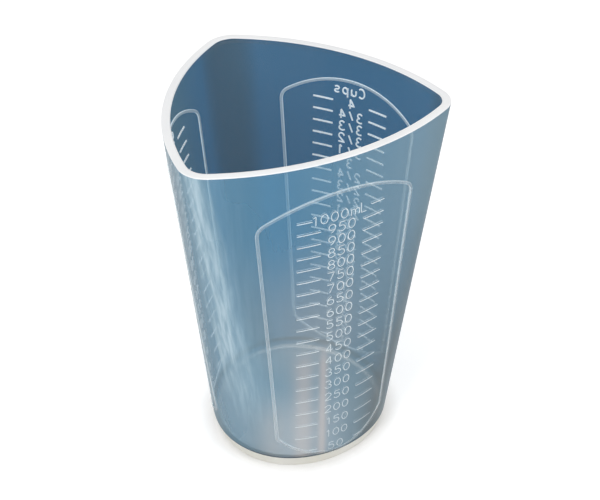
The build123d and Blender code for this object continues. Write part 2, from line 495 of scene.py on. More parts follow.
# The painted shade on the right and the painted corner highlight also cover more of what lies behind.
cover_under_paint = outer.calc("MAXIMUM", outer.times(right_side_shade, 0.9), outer.times(corner_highlight, 0.95))
cover = ranged(outer, outer.calc("MAXIMUM", glance, cover_under_paint), 0.47, 0.92)
veil = outer.place("ShaderNodeBsdfPrincipled", {
    "Base Color": haze,
    "Roughness": ranged(outer, cloud, 0.26, 0.34),
    "Normal": outer.grouped(grain_group, Strength=0.04),
    "IOR": silicone_ior,
})[0]
clear = outer.place("ShaderNodeBsdfTransparent")[0]
outside_shader = shader_mix(outer, cover, clear, veil)
print("outer skin has", len(outer.data.nodes), "nodes with its haze")

# %% [markdown]
# From inside, the same skin is the deep blue depth of the wall. It is greyer on the left, it has
# painted shade down the corners and a painted shade line just above the foot, and half of its light
# comes through from behind. Backfacing says which side is seen, and it has to stay in the material
# itself.

# %% The depth seen from inside
depth = (0.027, 0.138, 0.275, 1)
for mask, colour in (
    (smooth_step(outer, outer.times(right, -1.0), 8 * mm, 48 * mm), (0.072, 0.165, 0.228, 1)),
    # Painted shade: darker down the three round corners.
    (outer.grouped(corner_group, Low=0.72), (0.026, 0.096, 0.168, 1)),
    # Painted shade just above the foot, where the wall meets the ledge.
    (between(foot_height + 0.5 * mm, foot_height + 0.05 * mm), foot_shade),
):
    depth = mixed(outer, mask, depth, colour)
lit_inside = outer.place("ShaderNodeBsdfDiffuse", {"Color": depth})[0]
lit_through = outer.place("ShaderNodeBsdfTranslucent", {"Color": depth})[0]
depth_shader = shader_mix(outer, 0.5, lit_inside, lit_through)
inside_shader = shader_mix(outer, 0.97, clear, depth_shader)
from_inside = outer.place("ShaderNodeNewGeometry")["Backfacing"]
surface(outer, shader_mix(outer, from_inside, outside_shader, inside_shader))
print("outer skin has", len(outer.data.nodes), "nodes in all")

# %% [markdown]
# All the other silicone is one kind of finish: two colours by the cloud, a satin gloss that the
# cloud varies, and the grain of the mould. The inner skin of the wall is nearly clear and only adds
# gloss. The flat of the lip and the foot look milky, because there the eye looks along the thickness
# of the silicone.

# %% Inner skin, lip and foot materials
def silicone(name, cloud_scale):
    """A new silicone material, its tree and its cloud."""
    material, tree = new_material(name)
    return material, tree, tree.grouped(cloud_group, Scale=cloud_scale)


def satin(tree, cloudiness, colour, roughness, sockets):
    """The satin silicone shader becomes the surface; sockets holds what else it takes."""
    shader = tree.place("ShaderNodeBsdfPrincipled", {
        "Base Color": colour,
        "Roughness": ranged(tree, cloudiness, *roughness),
        "Normal": tree.grouped(grain_group, Strength=0.05),
        "IOR": silicone_ior,
        **sockets,
    })
    surface(tree, shader[0])


def plain_silicone(name, near, cloudy, roughness, cloud_scale, clearness=None):
    """A silicone of two colours, with an alpha range where it is see-through."""
    material, tree, cloudiness = silicone(name, cloud_scale)
    sockets = {"Alpha": ranged(tree, cloudiness, *clearness)} if clearness else {}
    satin(tree, cloudiness, mixed(tree, cloudiness, near, cloudy), roughness, sockets)
    return material


inner_skin = plain_silicone(
    "wall_inner_skin", (0.30, 0.48, 0.62, 1), (0.42, 0.56, 0.66, 1), (0.22, 0.3), 18.0, (0.03, 0.07)
)
lip_milk = plain_silicone(
    "lip_milk", (0.84, 0.85, 0.86, 1), (0.88, 0.885, 0.89, 1), (0.38, 0.48), 40.0
)
foot_cream = plain_silicone(
    "foot_cream", (0.66, 0.645, 0.58, 1), (0.72, 0.71, 0.665, 1), (0.3, 0.42), 25.0
)
print("materials:", inner_skin.name, lip_milk.name, foot_cream.name)

# %% [markdown]
# The floor inside the cup shows through the front wall, so its light decides how the lower half
# looks. It could be lit by real light through the wall, but that is slow and noisy, so its brightness
# is a mask. It is brightest on the reader's side of the middle, the round at its edge catches a warm
# line of light, and above that the round goes over into the blue of the wall.

# %% Floor inside the cup, with painted light
def floor_haze_colour(tree, cloudiness):
    """The colour of the inside of the foot, with its painted light and shade, from its middle out to the
    ledge under the wall.
    """
    x, y, z = own_coordinates(tree, "Object")
    reader = tree.calc("MULTIPLY_ADD", y, -cos(camera_azimuth), tree.times(x, sin(camera_azimuth)))
    reader_right = tree.calc("MULTIPLY_ADD", y, sin(camera_azimuth), tree.times(x, cos(camera_azimuth)))
    near = smooth_step(tree, reader, -22 * mm, 26 * mm)
    lit = tree.times(near, bell(tree, tree.calc("ADD", reader_right, 4 * mm), 24 * mm))
    on_round = smooth_step(tree, z, floor_height + 0.02 * mm, floor_height + 0.3 * mm)
    round_light = ranged(tree, smooth_step(tree, reader_right, -26 * mm, 4 * mm), 0.22, 0.8)
    above_round = smooth_step(tree, z, floor_height + 1.0 * mm, floor_height + 1.8 * mm)
    # Painted shade on the ledge under the wall.
    ledge = smooth_step(tree, z, foot_height - 0.3 * mm, foot_height - 0.05 * mm)
    colour = (0.20, 0.28, 0.34, 1)
    for mask, over in (
        (lit, (0.60, 0.62, 0.62, 1)),
        (tree.times(on_round, round_light), (0.97, 0.93, 0.86, 1)),
        (above_round, (0.13, 0.31, 0.46, 1)),
        (ledge, foot_shade),
        (tree.times(cloudiness, 0.12), (0.74, 0.77, 0.77, 1)),
    ):
        colour = mixed(tree, mask, colour, over)
    return colour


floor_painted_light, haze_tree, haze_cloud = silicone("floor_painted_light", 30.0)
satin(haze_tree, haze_cloud, floor_haze_colour(haze_tree, haze_cloud), (0.35, 0.45), {})
print("floor haze has", len(haze_tree.data.nodes), "nodes")

# %% [markdown]
# The raised marks are thin ridges of the same silicone. Their pale colour is partly the scatter of
# the silicone and partly a painted highlight for the light that they catch, and a bead shows a
# painted highlight along each edge. They reach a little way into the wall too, because they are seen
# from inside through its clear inner skin. There the root of a ridge has a faint glow of its own,
# which stands for the light that comes through it. The relief tree stores on every ridge how far
# across it and how far above the wall each point lies, and the materials read both.

# %% Mark and bead materials
ridge_cloud_scale = 60.0
ridge_roughness = (0.25, 0.35)


def ridge_value(tree, name):
    """A value that the relief tree stored on every ridge."""
    return tree.place("ShaderNodeAttribute", attribute_name=name)["Fac"]


def root_of_ridge(tree):
    """1 on the root of a ridge, where its skin looks in towards the axis of the cup."""
    x, y, _ = own_coordinates(tree, "Object")
    normal_x, normal_y, _ = own_coordinates(tree, "Normal")
    outward = tree.calc("MULTIPLY_ADD", x, normal_x, tree.times(y, normal_y))
    below = tree.calc("LESS_THAN", ridge_value(tree, "above"), 0.0)
    return tree.times(below, tree.calc("LESS_THAN", outward, 0.0))


def raised_silicone(name, near, cloudy, root_glow, scatter_weight, scatter_reach, covers):
    """A ridge's silicone; covers gives its alpha outside and at its root, by place and shape."""
    material, tree, cloudiness = silicone(name, ridge_cloud_scale)
    aside = tree.calc("ABSOLUTE", ridge_value(tree, "across"))
    root = root_of_ridge(tree)
    outside, at_root = covers(tree, aside, own_coordinates(tree, "Object")[2])
    alpha = tree.calc("MAXIMUM", outside, tree.times(root, at_root))
    from_behind = tree.place("ShaderNodeNewGeometry")["Backfacing"]
    satin(tree, cloudiness, mixed(tree, cloudiness, near, cloudy), ridge_roughness, {
        "Alpha": tree.times(alpha, tree.calc("SUBTRACT", 1.0, from_behind)),
        "Emission Color": mixed(tree, root, (0, 0, 0, 1), root_glow),
        "Emission Strength": 1.0,
        "Subsurface Weight": scatter_weight,
        "Subsurface Radius": (1, 1, 1),
        "Subsurface Scale": scatter_reach,
    })
    return material


def mark_covers(tree, aside, height):
    """A mark is pale on its crest, fades towards the foot and is whole at its root."""
    crest = ranged(tree, smooth_step(tree, aside, 0.62, 0.36), 0.03, 0.76)
    fade = ranged(tree, smooth_step(tree, height, 20 * mm, 100 * mm), 0.74, 1.0)
    stands_out = tree.calc("GREATER_THAN", ridge_value(tree, "above"), 0.0)
    return tree.times(crest, fade, stands_out), 1.0


def bead_covers(tree, aside, height):
    """A bead shows a painted highlight along each of its edges, which fades towards the foot."""
    edge = smooth_step(tree, aside, 0.55, 0.9)
    fade = ranged(tree, smooth_step(tree, height, 6 * mm, 36 * mm), 0.45, 1.0)
    return tree.times(ranged(tree, edge, 0.2, 0.58), fade), ranged(tree, edge, 0.42, 1.0)


# The pale colour of the marks and beads is partly the silicone's scatter and partly a painted highlight.
mark_pale = raised_silicone(
    "mark_pale", (0.82, 0.91, 0.96, 1), (0.88, 0.94, 0.975, 1), root_glow=(0.17, 0.185, 0.19, 1),
    scatter_weight=0.5, scatter_reach=0.9 * mm, covers=mark_covers,
)
bead_pale = raised_silicone(
    "bead_pale", (0.74, 0.85, 0.92, 1), (0.82, 0.90, 0.94, 1), root_glow=(0.12, 0.14, 0.15, 1),
    scatter_weight=1.0, scatter_reach=1.5 * mm, covers=bead_covers,
)
print("materials:", mark_pale.name, bead_pale.name)

# %% [markdown]
# The wall follows one rule: at any height its outline is six arcs, and both radii run evenly from
# the foot to the rim. A rule is best kept in one place, so it becomes a geometry node group that
# gives the two radii and the two distances of the arcs' centres. Both trees below use it.

# %% The cup's rule as a node group
def cup_rule():
    """The arcs of the outline at a height."""
    tree, given, gives = new_group(
        "cup_rule",
        "Geometry",
        {
            "Height": 0.0,
            "Foot Height": foot_height,
            "Cup Height": cup_height,
            "Foot Side Radius": foot_side_radius,
            "Rim Side Radius": rim_side_radius,
            "Foot Corner Radius": foot_corner_radius,
            "Rim Corner Radius": rim_corner_radius,
            "Side Half Angle": side_half_angle,
        },
        {"Side Radius": "Float", "Corner Radius": "Float", "Reach": "Float", "Setback": "Float"},
    )
    wall_height = tree.calc("MAXIMUM", given["Height"], given["Foot Height"])
    risen = tree.calc("SUBTRACT", wall_height, given["Foot Height"])
    tall = tree.calc("SUBTRACT", given["Cup Height"], given["Foot Height"])
    risen_share = tree.calc("DIVIDE", risen, tall)
    side = tree.choose(risen_share, given["Rim Side Radius"], given["Foot Side Radius"])
    corner = tree.choose(risen_share, given["Rim Corner Radius"], given["Foot Corner Radius"])
    across = tree.calc("SUBTRACT", side, corner)
    sine = tree.calc("SINE", given["Side Half Angle"])
    cosine = tree.calc("COSINE", given["Side Half Angle"])
    reach = tree.times(across, tree.calc("DIVIDE", sine, sin(pi / walls)))
    setback = tree.calc("SUBTRACT", tree.times(across, cosine), tree.times(reach, cos(pi / walls)))
    for socket, value in zip(gives, (side, corner, reach, setback)):
        tree.feed(socket, value)
    return tree.data


rule = cup_rule()
print("rule group has", len(rule.nodes), "nodes")

# %% [markdown]
# Both trees keep a value on a curve's points before the sweep, and both end alike: instances are
# made real and the material is set. The three steps are written once here.

# %% What both trees share
def position(tree):
    """The place of each point."""
    return tree.place("GeometryNodeInputPosition")[0]


def kept(tree, curve, kind, label, value):
    """A curve that keeps a value on its points, and the kept value."""
    node = tree.data.nodes.new("GeometryNodeCaptureAttribute")
    node.capture_items.new(kind, label)
    tree.feed(node.inputs["Geometry"], curve)
    tree.feed(node.inputs[label], value)
    return node.outputs["Geometry"], node.outputs[label]


def finish_tree(tree, mesh, given, gives):
    """The mesh is made real, gets its material and goes out."""
    real = tree.place("GeometryNodeRealizeInstances", {0: mesh})[0]
    painted = tree.place("GeometryNodeSetMaterial", {"Geometry": real, "Material": given["Material"]})[0]
    tree.feed(gives["Geometry"], painted)


print("shared steps:", kept.__name__, finish_tree.__name__)

# %% [markdown]
# The shell tree sweeps a closed profile round the cup. The profile is drawn flat: across is how far
# a point lies outside the wall's outline, up is its height, and depth is how far it is drawn in
# towards the axis, which only the middle of the floor uses. Curve to Mesh gives the grid of points,
# and Set Position sends each one to where the rule says.

# %% Shell tree
def point_round_cup(tree, given, step, drawn):
    """Where a point of the swept grid belongs, by its step round the cup and its drawn place."""
    grow, height, draw_in = tree.split(drawn)
    arcs = tree.place("GeometryNodeGroup", {"Height": height}, node_tree=rule)
    side_steps, corner_steps = given["Side Steps"], given["Corner Steps"]
    wall_steps = tree.calc("ADD", side_steps, corner_steps)
    lobe = tree.calc("FLOOR", tree.calc("DIVIDE", tree.calc("ADD", step, 0.5), wall_steps))
    step_here = tree.calc("SUBTRACT", step, tree.times(lobe, wall_steps))
    on_side = tree.calc("LESS_THAN", step_here, tree.calc("SUBTRACT", side_steps, 0.5))
    facing = tree.calc("MULTIPLY_ADD", lobe, 2 * pi / walls, given["Facing"])
    side_share = tree.calc("DIVIDE", step_here, side_steps)
    side_turn = tree.calc("MULTIPLY_ADD", side_share, 2 * side_half_angle, -side_half_angle)
    corner_share = tree.calc("DIVIDE", tree.calc("SUBTRACT", step_here, side_steps), corner_steps)
    corner_turn = tree.calc("MULTIPLY_ADD", corner_share, 2 * corner_half_angle, side_half_angle)
    direction = tree.calc("ADD", facing, tree.choose(on_side, side_turn, corner_turn))
    centre_angle = tree.calc("ADD", facing, tree.choose(on_side, 0.0, pi / walls))
    centre_out = tree.choose(on_side, tree.times(arcs["Setback"], -1.0), arcs["Reach"])
    radius = tree.calc("ADD", tree.choose(on_side, arcs["Side Radius"], arcs["Corner Radius"]), grow)
    outwards = tree.calc("SUBTRACT", 1.0, draw_in)
    sockets = {"Z": height}
    for axis, wave in (("X", "COSINE"), ("Y", "SINE")):
        centre_part = tree.times(centre_out, tree.calc(wave, centre_angle))
        whole = tree.calc("MULTIPLY_ADD", radius, tree.calc(wave, direction), centre_part)
        sockets[axis] = tree.times(whole, outwards)
    return tree.place("ShaderNodeCombineXYZ", sockets)[0]


def sweep_round_cup():
    """The tree that sweeps a drawn profile round the cup."""
    tree, given, gives = new_group(
        "sweep_round_cup",
        "Geometry",
        {
            "Geometry": "Geometry",
            "Side Steps": 40,
            "Corner Steps": 24,
            "Facing": -pi / 2,
            "Merge": 0.01 * mm,
            "Material": "Material",
        },
        {"Geometry": "Geometry"},
    )
    profile = tree.place("GeometryNodeMeshToCurve", {"Mesh": given["Geometry"]})[0]
    profile, drawn = kept(tree, profile, "VECTOR", "Drawn", position(tree))
    wall_steps = tree.calc("ADD", given["Side Steps"], given["Corner Steps"])
    rail_sockets = {"Resolution": tree.times(wall_steps, walls)}
    rail = tree.place("GeometryNodeCurvePrimitiveCircle", rail_sockets)["Curve"]
    rail, step = kept(tree, rail, "FLOAT", "Step", tree.place("GeometryNodeInputIndex")[0])
    grid = tree.place("GeometryNodeCurveToMesh", {"Curve": rail, "Profile Curve": profile})[0]
    point = point_round_cup(tree, given, step, drawn)
    moved = tree.place("GeometryNodeSetPosition", {"Geometry": grid, "Position": point})[0]
    weld_sockets = {"Geometry": moved, "Distance": given["Merge"]}
    finish_tree(tree, tree.place("GeometryNodeMergeByDistance", weld_sockets)[0], given, gives)
    return tree.data


shell = sweep_round_cup()
print("shell tree has", len(shell.nodes), "nodes")

# %% [markdown]
# A tree works on an object, and its result is then turned into a plain mesh. One helper does both:
# it makes the drawn mesh, sets the tree's inputs by their sockets' identifiers, evaluates it, keeps
# the result and drops the modifier. Normals are made to point outwards, and edges sharper than an
# angle stay crisp.

# %% From a drawn mesh and a tree to a plain piece
crisp_angle = radians(38)


def face_outwards(mesh):
    """Every closed shell of a mesh gets its normals outwards."""
    work = bmesh.new()
    work.from_mesh(mesh)
    bmesh.ops.recalc_face_normals(work, faces=work.faces)
    work.to_mesh(mesh)
    work.free()


def grown(name, points, edges, tree, **inputs):
    """A plain mesh object, from flat or full points and their edges, worked by a tree."""
    drawn_mesh = bpy.data.meshes.new(name + "_drawn")
    drawn_mesh.from_pydata([(*point, 0)[:3] for point in points], edges, [])
    piece = bpy.data.objects.new(name, drawn_mesh)
    bpy.context.scene.collection.objects.link(piece)
    modifier = piece.modifiers.new("tree", "NODES")
    modifier.node_group = tree
    for item in tree.interface.items_tree:
        if item.in_out == "INPUT" and item.name in inputs:
            modifier[item.identifier] = inputs[item.name]
    piece.update_tag()
    depsgraph = bpy.context.evaluated_depsgraph_get()
    mesh = bpy.data.meshes.new_from_object(piece.evaluated_get(depsgraph), depsgraph=depsgraph)
    piece.modifiers.remove(modifier)
    piece.data = mesh
    mesh.name = name
    face_outwards(mesh)
    mesh.polygons.foreach_set("use_smooth", [True] * len(mesh.polygons))
    mesh.set_sharp_from_angle(angle=crisp_angle)
    return piece


def chain(count, closed=True):
    """The edges of a chain of points, closed into a ring or open."""
    edges = [(i, i + 1) for i in range(count - 1)]
    return edges + [(count - 1, 0)] if closed else edges


print("edges sharper than", round(crisp_angle, 2), "radians stay crisp")

# %% [markdown]
# The wall is one straight-ruled shell that is thin at the foot and thicker at the rim. A cage with
# subdivision would bow it, so it is swept instead, and its profile is two upright lines. The outer
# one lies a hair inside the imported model, so that rounding never carries the skin past it. The faces
# that look in towards the axis get the inner skin.

# %% Wall
wall_levels = 12
skin_inset = 0.01 * mm
level_face = 0.9


def risen_share_at(z):
    """How far up the ruled wall a height lies: 0 at the foot and 1 at the rim."""
    return (z - foot_height) / (cup_height - foot_height)


def ruled(low, high, share):
    """A value that changes evenly from low to high, at a share of the way."""
    return low + (high - low) * share


def wall_at(z):
    """The wall's thickness at a height."""
    return ruled(foot_wall, rim_wall, max(risen_share_at(z), 0))


def paint_where(piece, slot_number, test):
    """Give a material to the faces whose centre and normal pass a test."""
    for face in piece.data.polygons:
        if test(face.center, face.normal):
            face.material_index = slot_number


def faces_inwards(centre, normal):
    """True for a face that looks towards the axis, and for a level one."""
    return normal.x * centre.x + normal.y * centre.y < 0 or abs(normal.z) > level_face


levels = [ruled(foot_height, lip_base, i / wall_levels) for i in range(wall_levels + 1)]
wall_profile = [(-skin_inset, z) for z in levels] + [(-wall_at(z), z) for z in reversed(levels)]
wall = grown("wall_shell", wall_profile, chain(len(wall_profile)), shell, Material=outer_skin)
wall.data.materials.append(inner_skin)
paint_where(wall, 1, lambda centre, normal: normal.z > -level_face and faces_inwards(centre, normal))
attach(wall, "root")
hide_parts("cup_wall")
print("wall shell:", len(wall.data.polygons), "faces")

# %% [markdown]
# The lip is the top band of the wall. Its two edges are softened by a small round, and its flat is
# milky while its sides look like the wall. It could be a bevel on the wall's top edge, but a profile
# of its own keeps its rounds exact and gives its faces their own materials.

# %% Lip
lip_round = 0.6 * mm
round_points = 5
milky_slope = 0.3


def quarter(radius):
    """How far in and how far short of an edge each point of a quarter round lies."""
    turns = [pi / 2 * i / round_points for i in range(round_points + 1)]
    return [(radius * (1 - sin(turn)), radius * (1 - cos(turn))) for turn in turns]


lip_curve = quarter(lip_round)
lip_profile = [(-skin_inset, lip_base)]
lip_profile += [(-skin_inset - inset, cup_height - drop) for inset, drop in reversed(lip_curve)]
lip_profile += [(inset - wall_at(cup_height - drop), cup_height - drop) for inset, drop in lip_curve]
lip_profile += [(-wall_at(lip_base), lip_base)]
lip = grown("lip_band", lip_profile, chain(len(lip_profile)), shell, Material=lip_milk)
lip.data.materials.append(outer_skin)
lip.data.materials.append(inner_skin)
paint_where(lip, 1, lambda centre, normal: normal.z < milky_slope)
paint_where(lip, 2, lambda centre, normal: normal.z < milky_slope and faces_inwards(centre, normal))
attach(lip, "root")
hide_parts("rim_lip")
print("lip band:", len(lip.data.polygons), "faces")

# %% [markdown]
# The foot and the floor are one plinth: drawn in towards its underside, with a fine step under the
# wall, and hollowed by the well of the cup. Its profile starts and ends on the axis, where all its
# points meet and are welded into one. It is swept by the same tree, so it meets the wall all round.

# %% Foot and floor
foot_draw_in = 1.65 * mm
foot_step = 0.3 * mm
foot_round = 0.8 * mm
floor_round = 3.0 * mm
draw_shares = [1.0, 0.6, 0.3, 0.1]
lit_slope = 0.5


def foot_side(z):
    """How far in the foot's side lies at a height."""
    return foot_step + foot_draw_in * (foot_height - z) / foot_height


def hollow(centre, normal):
    """True for the faces of the well, its round and the ledge under the wall."""
    return centre.z > foot_height / 3 and (normal.z > lit_slope or faces_inwards(centre, normal))


foot_profile = [(-foot_wall - floor_round, floor_height, share) for share in draw_shares]
foot_profile += [(-foot_wall - inset, floor_height + rise) for inset, rise in quarter(floor_round)]
foot_profile += [(-foot_wall, foot_height), (-foot_step, foot_height)]
foot_profile += [(-foot_side(rise) - inset, rise) for inset, rise in reversed(quarter(foot_round))]
foot_profile += [(-foot_side(0) - foot_round, 0, share) for share in reversed(draw_shares)]
foot = grown("foot_and_floor", foot_profile, chain(len(foot_profile), False), shell, Material=foot_cream)
foot.data.materials.append(floor_painted_light)
paint_where(foot, 1, hollow)
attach(foot, "root")
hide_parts("foot_ring", "cup_floor")
print("foot and floor:", len(foot.data.polygons), "faces")

# %% [markdown]
# The marks are drawn flat, as a reader sees them: across is how far right of the panel's middle a
# point lies, and up is its height on the cup. The relief tree turns each line into a ridge with a
# rounded section and round ends, and then lays the whole drawing on one wall with the cup's rule.
# Because the bending comes last, every ridge keeps its own height above the curved wall.

# %% Relief tree
def ridges(tree, given):
    """The drawn lines as flat ridges, and how far across its section each point lies."""
    lines = tree.place("GeometryNodeMeshToCurve", {"Mesh": given["Geometry"]})[0]
    fine_sockets = {"Curve": lines, "Length": given["Step"]}
    fine = tree.place("GeometryNodeResampleCurve", fine_sockets, mode="LENGTH")[0]
    upright = tree.place("GeometryNodeSetCurveNormal", {"Curve": fine}, mode="Z_UP")[0]
    block_sockets = {"Width": given["Width"], "Height": given["Depth"]}
    block = tree.place("GeometryNodeCurvePrimitiveQuadrilateral", block_sockets)[0]
    soft_sockets = {"Curve": block, "Radius": given["Rounding"], "Count": 2, "Limit Radius": True}
    soft = tree.place("GeometryNodeFilletCurve", soft_sockets, mode="POLY")[0]
    half_width = tree.calc("DIVIDE", given["Width"], 2.0)
    off_middle = tree.calc("DIVIDE", tree.split(position(tree))["X"], half_width)
    section, across = kept(tree, soft, "FLOAT", "Across", off_middle)
    sweep_sockets = {"Curve": upright, "Profile Curve": section, "Fill Caps": True}
    return tree.place("GeometryNodeCurveToMesh", sweep_sockets)[0], across


def place_on_wall(tree, given, up, above):
    """Where a point of the flat drawing lies on the wall, at its own height above it."""
    right = tree.calc("ADD", tree.split(position(tree))["X"], given["Shift"])
    arcs = tree.place("GeometryNodeGroup", {"Height": up}, node_tree=rule)
    size = tree.calc("ABSOLUTE", right)
    corner_middle = tree.times(arcs["Reach"], sin(pi / walls))
    past_side = tree.calc("GREATER_THAN", size, tree.times(arcs["Side Radius"], sin(side_half_angle)))
    from_centre = tree.choose(past_side, tree.calc("SUBTRACT", size, corner_middle), size)
    radius = tree.choose(past_side, arcs["Corner Radius"], arcs["Side Radius"])
    slope = tree.calc("DIVIDE", from_centre, radius)
    level = tree.calc("SQRT", tree.calc("SUBTRACT", 1.0, tree.times(slope, slope)))
    corner_out = tree.times(arcs["Reach"], cos(pi / walls))
    centre_out = tree.choose(past_side, corner_out, tree.times(arcs["Setback"], -1.0))
    out = tree.calc("MULTIPLY_ADD", tree.calc("ADD", radius, above), level, centre_out)
    sideways = tree.calc("ADD", right, tree.times(slope, above, tree.calc("SIGN", right)))
    face_cos = tree.calc("COSINE", given["Facing"])
    face_sin = tree.calc("SINE", given["Facing"])
    return tree.place("ShaderNodeCombineXYZ", {
        "X": tree.calc("SUBTRACT", tree.times(out, face_cos), tree.times(sideways, face_sin)),
        "Y": tree.calc("ADD", tree.times(out, face_sin), tree.times(sideways, face_cos)),
        "Z": up,
    })[0]


def lay_on_wall():
    """The tree that turns drawn lines into ridges on one wall."""
    tree, given, gives = new_group(
        "lay_on_wall",
        "Geometry",
        {
            "Geometry": "Geometry",
            "Width": 0.6 * mm,
            "Depth": 0.9 * mm,
            "Proud": 0.5 * mm,
            "Rounding": 0.25 * mm,
            "Facing": 0.0,
            "Shift": 0.0,
            "Step": 1.2 * mm,
            "Material": "Material",
        },
        {"Geometry": "Geometry"},
    )
    drawing, across = ridges(tree, given)
    _, up, thickness = tree.split(position(tree))
    centre_lift = tree.calc("SUBTRACT", given["Proud"], tree.calc("DIVIDE", given["Depth"], 2.0))
    above = tree.calc("ADD", thickness, centre_lift)
    for label, value in (("across", across), ("above", above)):
        store_sockets = {"Geometry": drawing, "Name": label, "Value": value}
        drawing = tree.place("GeometryNodeStoreNamedAttribute", store_sockets)[0]
    laid_sockets = {"Geometry": drawing, "Position": place_on_wall(tree, given, up, above)}
    finish_tree(tree, tree.place("GeometryNodeSetPosition", laid_sockets)[0], given, gives)
    return tree.data


relief = lay_on_wall()
print("relief tree has", len(relief.nodes), "nodes")

# %% [markdown]
# The lines of each scale stand where the contents reach a step of the full volume. The inside's area
# at a height follows from the same rule, and Simpson's rule gives the exact volume of such a wall.
# The height of each line is then found by halving a range until it is narrow enough.

# %% Heights of the lines
full_line = cup_height - 26.4 * mm
halvings = 40
millilitres = 1e6


def inside_area(z):
    """The area of the inside at a height, from its side and corner sectors."""
    share = risen_share_at(z)
    side = ruled(foot_side_radius, rim_side_radius, share)
    corner = ruled(foot_corner_radius, rim_corner_radius, share)
    thickness = ruled(foot_wall, rim_wall, share)
    reach = (side - corner) * sin(side_half_angle) / sin(pi / walls)
    setback = (side - corner) * cos(side_half_angle) - reach * cos(pi / walls)
    inner_side, inner_corner = side - thickness, corner - thickness
    side_part = inner_side * (inner_side * side_half_angle - setback * sin(side_half_angle))
    corner_part = inner_corner * (inner_corner * corner_half_angle + reach * sin(corner_half_angle))
    return walls * (side_part + corner_part)


def contents(z):
    """What the cup holds up to a height, by Simpson's rule."""
    middle = (floor_height + z) / 2
    return (z - floor_height) * (inside_area(floor_height) + 4 * inside_area(middle) + inside_area(z)) / 6


def line_height(share):
    """The height that the contents reach when they fill a share of the full volume."""
    low, high = floor_height, cup_height
    for _ in range(halvings):
        middle = (low + high) / 2
        if contents(middle) < share * contents(full_line):
            low = middle
        else:
            high = middle
    return (low + high) / 2


rows = 20
ounce_rows = 17
ounce_row_share = 0.05915
litre_heights = [line_height((row + 1) / rows) for row in range(rows)]
ounce_heights = [line_height((row + 1) * ounce_row_share) for row in range(ounce_rows)]
print("full volume", round(contents(full_line) * millilitres, 1), "mL")

# %% [markdown]
# Each scale is framed by a raised bead. Its outline is an arch at the top, two straight flanks and a
# bowed foot, joined by round shoulders and small heels. A rounding between a straight flank and an
# arc touches both: its centre lies a radius inside the flank and a radius inside the arc.

# %% The panel's outline
bead_width = 1.4 * mm
arch_radius = 59.0 * mm
arch_middle = full_line + 11.0 * mm - arch_radius
flank_low = Vector((26.0 * mm, foot_height))
flank_high = Vector((36.8 * mm, cup_height))
shoulder_round = 6.0 * mm
heel_round = 1.6 * mm
bow_radius = 33.5 * mm
bow_middle = foot_height + 0.2 * mm + bead_width / 2 + bow_radius
arc_step = radians(4)
arc_step_radius = 40 * mm


def arc(centre, radius, start, end):
    """Points along an arc, about one for every few degrees, and more on a large one."""
    count = max(ceil(abs(end - start) / arc_step * (radius / arc_step_radius) ** 0.5), 4)
    angles = [ruled(start, end, i / count) for i in range(count + 1)]
    return [(centre[0] + radius * cos(a), centre[1] + radius * sin(a)) for a in angles]


def rounding_centre(middle, radius, round_radius, upper):
    """The centre of a rounding between the right flank and an arc about the panel's middle line."""
    along = (flank_high - flank_low).normalized()
    outward = Vector((along.y, -along.x))
    start = flank_low - outward * round_radius - Vector((0, middle))
    half_b = start.dot(along)
    root = sqrt(half_b**2 - start.length_squared + (radius - round_radius) ** 2)
    travel = -half_b + (root if upper else -root)
    return start + along * travel + Vector((0, middle)), atan2(outward.y, outward.x)


def panel_outline():
    """The closed outline of a panel, drawn flat, from the foot's middle round to the left."""
    shoulder, flank_angle = rounding_centre(arch_middle, arch_radius, shoulder_round, True)
    heel, _ = rounding_centre(bow_middle, bow_radius, heel_round, False)
    bow_end = atan2(heel.y - bow_middle, heel.x)
    arch_start = atan2(shoulder.y - arch_middle, shoulder.x)
    half = arc((0, bow_middle), bow_radius, -pi / 2, bow_end)
    half += arc(heel, heel_round, bow_end, flank_angle)
    half += arc(shoulder, shoulder_round, flank_angle, arch_start)
    half += arc((0, arch_middle), arch_radius, arch_start, pi / 2)
    return half + [(-x, y) for x, y in reversed(half[1:-1])]


outline = panel_outline()
print("panel outline:", len(outline), "points")

# %% [markdown]
# The same outline stands on all three walls, so a loop turns it into three beads. Each one is a
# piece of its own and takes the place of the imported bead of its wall.

# %% Beads
bead_depth = 1.2 * mm
bead_proud = 0.6 * mm
bead_rounding = 0.4 * mm
panel_shift = -1.5 * mm
facings = {"millilitre": -pi / 2, "cups": -pi / 2 + 2 * pi / walls, "ounce": -pi / 2 + 4 * pi / walls}
for scale, wall_facing in facings.items():
    bead = grown(
        scale + "_bead", outline, chain(len(outline)), relief,
        Width=bead_width, Depth=bead_depth, Proud=bead_proud, Rounding=bead_rounding,
        Facing=wall_facing, Shift=panel_shift, Material=bead_pale,
    )
    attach(bead, "root")
    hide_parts(scale + "_panel_bead")
    print(bead.name, [round(size / mm, 1) for size in bead.dimensions])

# %% [markdown]
# Every row of a scale has two strokes, left and right of its numeral. Both are drawn as one straight
# line each, from an inner to an outer place. Near the foot the bowed bead comes in, so the strokes
# stop short of it there. The stroke beside the long top label starts further out.

# %% Strokes
stroke_width = 0.8 * mm
stroke_inner = 9.3 * mm
stroke_outer = 19.8 * mm
full_stroke_inner = 13.0 * mm
stroke_depth = 1.0 * mm
stroke_proud = 0.5 * mm
stroke_rounding = 0.2 * mm
shortest_stroke = 4.0 * mm
end_inset = 0.3 * mm
bow_margin = bead_width / 2 + 0.3 * mm


def bow_reach(z):
    """How far out a stroke may run at a height, to stop short of the bead."""
    drop = max(bow_middle - z + stroke_width / 2, 0)
    return sqrt((bow_radius - bow_margin) ** 2 - drop**2)


